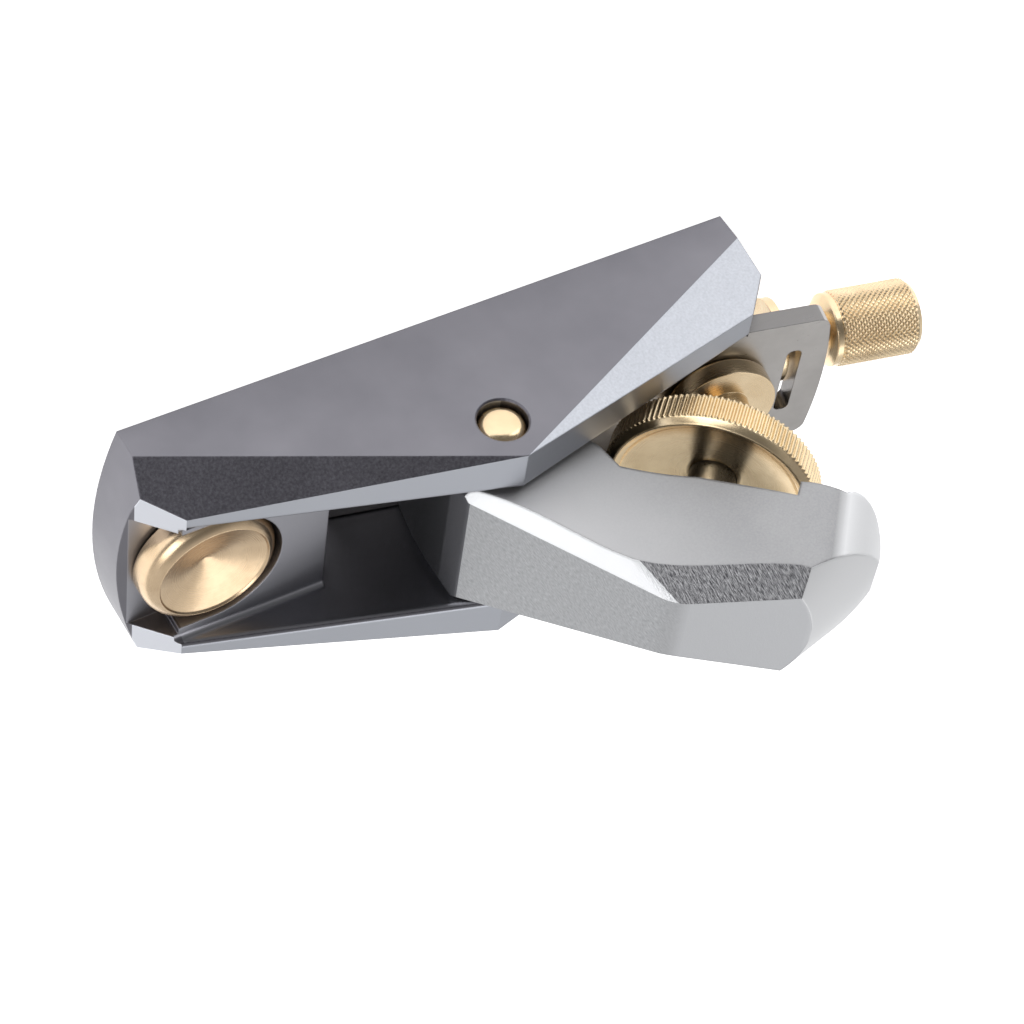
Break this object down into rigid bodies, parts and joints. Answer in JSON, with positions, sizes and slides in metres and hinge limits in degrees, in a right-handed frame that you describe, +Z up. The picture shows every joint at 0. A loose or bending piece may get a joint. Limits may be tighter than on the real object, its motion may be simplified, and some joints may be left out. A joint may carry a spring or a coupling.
{
  "type": "block plane",
  "caption": "Small low-angle block plane with facetted walls, brass thumb wheel, lever cap, depth adjuster and sliding toe plate.",
  "frame": {"origin": "on the sole, in the middle of its width, under the lever cap's cross pin", "axes": "+X towards the toe, +Y to the right-hand wall seen from behind the toe, +Z up from the sole"},
  "size_m": [0.1479, 0.0454, 0.0668],
  "materials": {
    "body_steel": "satin machined steel with fine-blasted facets",
    "blade_steel": "surface-ground tool steel",
    "cap_aluminium": "bead-blasted cast aluminium",
    "turned_brass": "satin turned brass",
    "screw_steel": "plain turned steel"
  },
  "bodies": {
    "stock": {"body": "body_steel", "cross_pin": "turned_brass", "heel_nut": "turned_brass"},
    "iron": {"blade": "blade_steel"},
    "adjuster": {"adjuster_knob": "turned_brass", "adjuster_screw": "screw_steel", "adjuster_flange": "turned_brass", "flange_pin": "screw_steel", "knob_pin": "screw_steel"},
    "shoe": {"toe_plate": "body_steel", "toe_stud": "screw_steel"},
    "finger_rest": {"front_knob": "turned_brass", "knob_washer": "screw_steel"},
    "cap": {"lever_cap": "cap_aluminium"},
    "thrust": {"thrust_washer": "screw_steel"},
    "wheel": {"clamp_wheel": "turned_brass", "clamp_screw": "screw_steel"},
    "pad": {"pressure_pad": "turned_brass"}
  },
  "joints": [
    {"name": "blade_slide", "type": "slide", "parent": "stock", "child": "iron", "axis": [-0.9781, 0, 0.2079], "range_m": [-0.001, 0.003]},
    {"name": "adjuster_spin", "type": "hinge", "parent": "iron", "child": "adjuster", "pos_m": [-0.06613, 0, 0.0121], "axis": [-0.9781, 0, 0.2079], "range_deg": [-460, 1360]},
    {"name": "shoe_slide", "type": "slide", "parent": "stock", "child": "shoe", "axis": [1, 0, 0], "range_m": [0, 0.0015]},
    {"name": "finger_rest_spin", "type": "hinge", "parent": "shoe", "child": "finger_rest", "pos_m": [0.0452, 0, 0.012], "axis": [0, 0, 1], "range_deg": [0, 270]},
    {"name": "cap_tilt", "type": "hinge", "parent": "stock", "child": "cap", "pos_m": [0, 0, 0.023], "axis": [0, -1, 0], "range_deg": [0, 3.5]},
    {"name": "thrust_slide", "type": "slide", "parent": "cap", "child": "thrust", "axis": [0.7071, 0, 0.7071], "range_m": [0, 0.0035]},
    {"name": "wheel_spin", "type": "hinge", "parent": "thrust", "child": "wheel", "pos_m": [-0.0459, 0, 0.02385], "axis": [0.7071, 0, 0.7071], "range_deg": [0, 820]},
    {"name": "pad_swivel", "type": "hinge", "parent": "thrust", "child": "pad", "pos_m": [-0.0459, 0, 0.02385], "axis": [0, -1, 0], "range_deg": [-4, 0]}
  ],
  "couplings": [
    {"joint": "adjuster_spin", "follows": "blade_slide", "rad_per_m": 7854},
    {"joint": "thrust_slide", "follows": "cap_tilt", "m_per_rad": 0.053744},
    {"joint": "wheel_spin", "follows": "cap_tilt", "ratio": 225.12},
    {"joint": "pad_swivel", "follows": "cap_tilt", "ratio": -1}
  ]
}
